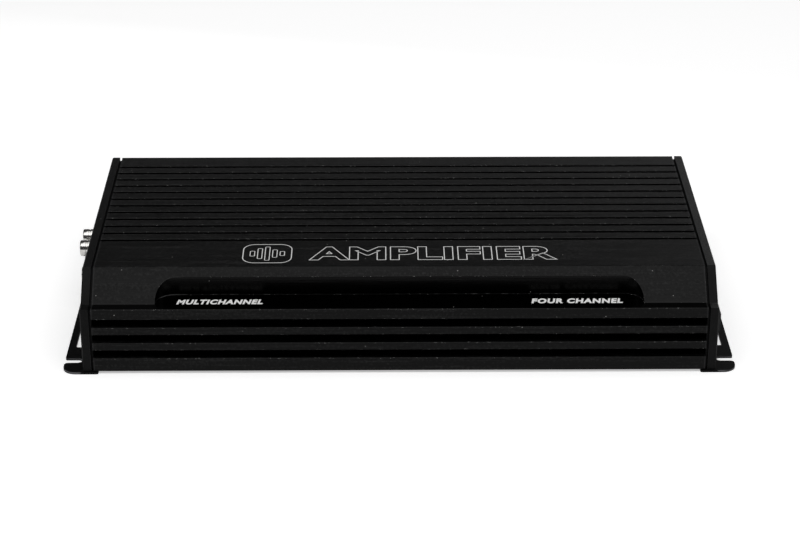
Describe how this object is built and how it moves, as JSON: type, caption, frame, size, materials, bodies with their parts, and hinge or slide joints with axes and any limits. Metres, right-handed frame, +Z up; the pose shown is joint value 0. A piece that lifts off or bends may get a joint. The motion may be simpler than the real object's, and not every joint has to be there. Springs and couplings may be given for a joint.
{
  "type": "car amplifier",
  "caption": "Long low black car amplifier: finned extruded heatsink with a bevelled front recess, end caps, folded mounting feet, phono jacks, turning controls and clamp terminals.",
  "frame": {"origin": "on the mounting surface, under the middle of the body", "axes": "+X to the right along the body's length as seen from the front, +Y towards the back, +Z up"},
  "size_m": [0.3302, 0.1648, 0.0479],
  "materials": {
    "black_anodised_extrusion": "black anodised with fine lengthwise brushed lines",
    "black_anodised_cap": "black anodised, satin",
    "black_painted_steel": "black powder coat, fine texture",
    "black_screw": "black oxide with worn edges",
    "black_plastic": "black moulded nylon",
    "component_plastic": "black moulded epoxy",
    "knob_plastic": "black moulded, fluted",
    "lever_plastic": "light grey moulded",
    "white_plastic": "white moulded",
    "nickel": "nickel plated, lightly scuffed",
    "nickel_brass": "nickel plated brass",
    "brass": "turned brass",
    "zinc_steel": "zinc plated steel",
    "green_lens": "translucent green lens",
    "red_lens": "translucent red lens",
    "fuse_plastic": "translucent amber plastic",
    "circuit_board": "green solder mask",
    "ferrite": "dark sintered powder",
    "copper": "enamelled copper wire",
    "capacitor_sleeve": "black shrink sleeve",
    "thermal_pad": "grey silicone pad"
  },
  "bodies": {
    "root": {"heatsink_body": "black_anodised_extrusion", "bottom_cover": "black_painted_steel", "bottom_cover_screws": "black_screw", "left_end_plate": "black_painted_steel", "right_end_plate": "black_painted_steel", "left_end_cap": "black_anodised_cap", "right_end_cap": "black_anodised_cap", "left_end_cap_screws": "black_screw", "right_end_cap_screws": "black_screw", "phono_jack_housing": "black_plastic", "phono_jack_shells": "nickel", "phono_jack_inserts": "white_plastic", "phono_jack_contacts": "brass", "potentiometer_bodies": "component_plastic", "switch_bodies": "component_plastic", "remote_level_socket": "black_plastic", "power_lamp": "green_lens", "protect_lamp": "red_lens", "speaker_terminal_block": "black_plastic", "speaker_terminal_cages": "nickel_brass", "power_terminal_block": "black_plastic", "power_terminal_cages": "nickel_brass", "fuse_holders": "black_plastic", "blade_fuses": "fuse_plastic", "main_board": "circuit_board", "board_standoffs": "brass", "board_screws": "zinc_steel", "preamplifier_board": "circuit_board", "preamplifier_board_posts": "brass", "transformer_core": "ferrite", "transformer_windings": "copper", "output_choke_cores": "ferrite", "output_choke_windings": "copper", "input_capacitors": "capacitor_sleeve", "rail_capacitors": "capacitor_sleeve", "power_transistors": "component_plastic", "thermal_pads": "thermal_pad", "clamp_bars": "zinc_steel", "clamp_bar_screws": "zinc_steel"},
    "front_level_knob": {"front_level_knob": "knob_plastic"},
    "front_high_pass_knob": {"front_high_pass_knob": "knob_plastic"},
    "front_low_pass_knob": {"front_low_pass_knob": "knob_plastic"},
    "rear_level_knob": {"rear_level_knob": "knob_plastic"},
    "rear_low_pass_knob": {"rear_low_pass_knob": "knob_plastic"},
    "bass_boost_knob": {"bass_boost_knob": "knob_plastic"},
    "front_filter_switch": {"front_filter_switch": "lever_plastic"},
    "rear_filter_switch": {"rear_filter_switch": "lever_plastic"},
    "input_mode_switch": {"input_mode_switch": "lever_plastic"},
    "speaker_screw_1": {"speaker_screw_1": "zinc_steel"},
    "speaker_screw_2": {"speaker_screw_2": "zinc_steel"},
    "speaker_screw_3": {"speaker_screw_3": "zinc_steel"},
    "speaker_screw_4": {"speaker_screw_4": "zinc_steel"},
    "speaker_screw_5": {"speaker_screw_5": "zinc_steel"},
    "speaker_screw_6": {"speaker_screw_6": "zinc_steel"},
    "speaker_screw_7": {"speaker_screw_7": "zinc_steel"},
    "speaker_screw_8": {"speaker_screw_8": "zinc_steel"},
    "battery_screw": {"battery_screw": "zinc_steel"},
    "remote_turn_on_screw": {"remote_turn_on_screw": "zinc_steel"},
    "ground_screw": {"ground_screw": "zinc_steel"}
  },
  "joints": [
    {"name": "front_level_knob_turn", "type": "hinge", "parent": "root", "child": "front_level_knob", "pos_m": [-0.152, -0.0546, 0.0285], "axis": [-1, 0, 0], "range_deg": [-140, 140]},
    {"name": "front_high_pass_knob_turn", "type": "hinge", "parent": "root", "child": "front_high_pass_knob", "pos_m": [-0.152, -0.0406, 0.0285], "axis": [-1, 0, 0], "range_deg": [-140, 140]},
    {"name": "front_low_pass_knob_turn", "type": "hinge", "parent": "root", "child": "front_low_pass_knob", "pos_m": [-0.152, -0.0266, 0.0285], "axis": [-1, 0, 0], "range_deg": [-140, 140]},
    {"name": "rear_level_knob_turn", "type": "hinge", "parent": "root", "child": "rear_level_knob", "pos_m": [-0.152, 0.0264, 0.0285], "axis": [-1, 0, 0], "range_deg": [-140, 140]},
    {"name": "rear_low_pass_knob_turn", "type": "hinge", "parent": "root", "child": "rear_low_pass_knob", "pos_m": [-0.152, 0.0404, 0.0285], "axis": [-1, 0, 0], "range_deg": [-140, 140]},
    {"name": "bass_boost_knob_turn", "type": "hinge", "parent": "root", "child": "bass_boost_knob", "pos_m": [-0.152, 0.0544, 0.0285], "axis": [-1, 0, 0], "range_deg": [-140, 140]},
    {"name": "front_filter_switch_slide", "type": "slide", "parent": "root", "child": "front_filter_switch", "axis": [0, 1, 0], "range_m": [-0.002, 0.002]},
    {"name": "rear_filter_switch_slide", "type": "slide", "parent": "root", "child": "rear_filter_switch", "axis": [0, 1, 0], "range_m": [-0.002, 0.002]},
    {"name": "input_mode_switch_slide", "type": "slide", "parent": "root", "child": "input_mode_switch", "axis": [0, 1, 0], "range_m": [-0.002, 0.002]},
    {"name": "speaker_screw_1_travel", "type": "slide", "parent": "root", "child": "speaker_screw_1", "axis": [0, 0, -1], "range_m": [0, 0.0024]},
    {"name": "speaker_screw_2_travel", "type": "slide", "parent": "root", "child": "speaker_screw_2", "axis": [0, 0, -1], "range_m": [0, 0.0024]},
    {"name": "speaker_screw_3_travel", "type": "slide", "parent": "root", "child": "speaker_screw_3", "axis": [0, 0, -1], "range_m": [0, 0.0024]},
    {"name": "speaker_screw_4_travel", "type": "slide", "parent": "root", "child": "speaker_screw_4", "axis": [0, 0, -1], "range_m": [0, 0.0024]},
    {"name": "speaker_screw_5_travel", "type": "slide", "parent": "root", "child": "speaker_screw_5", "axis": [0, 0, -1], "range_m": [0, 0.0024]},
    {"name": "speaker_screw_6_travel", "type": "slide", "parent": "root", "child": "speaker_screw_6", "axis": [0, 0, -1], "range_m": [0, 0.0024]},
    {"name": "speaker_screw_7_travel", "type": "slide", "parent": "root", "child": "speaker_screw_7", "axis": [0, 0, -1], "range_m": [0, 0.0024]},
    {"name": "speaker_screw_8_travel", "type": "slide", "parent": "root", "child": "speaker_screw_8", "axis": [0, 0, -1], "range_m": [0, 0.0024]},
    {"name": "battery_screw_travel", "type": "slide", "parent": "root", "child": "battery_screw", "axis": [0, 0, -1], "range_m": [0, 0.0032]},
    {"name": "remote_turn_on_screw_travel", "type": "slide", "parent": "root", "child": "remote_turn_on_screw", "axis": [0, 0, -1], "range_m": [0, 0.0032]},
    {"name": "ground_screw_travel", "type": "slide", "parent": "root", "child": "ground_screw", "axis": [0, 0, -1], "range_m": [0, 0.0032]}
  ]
}
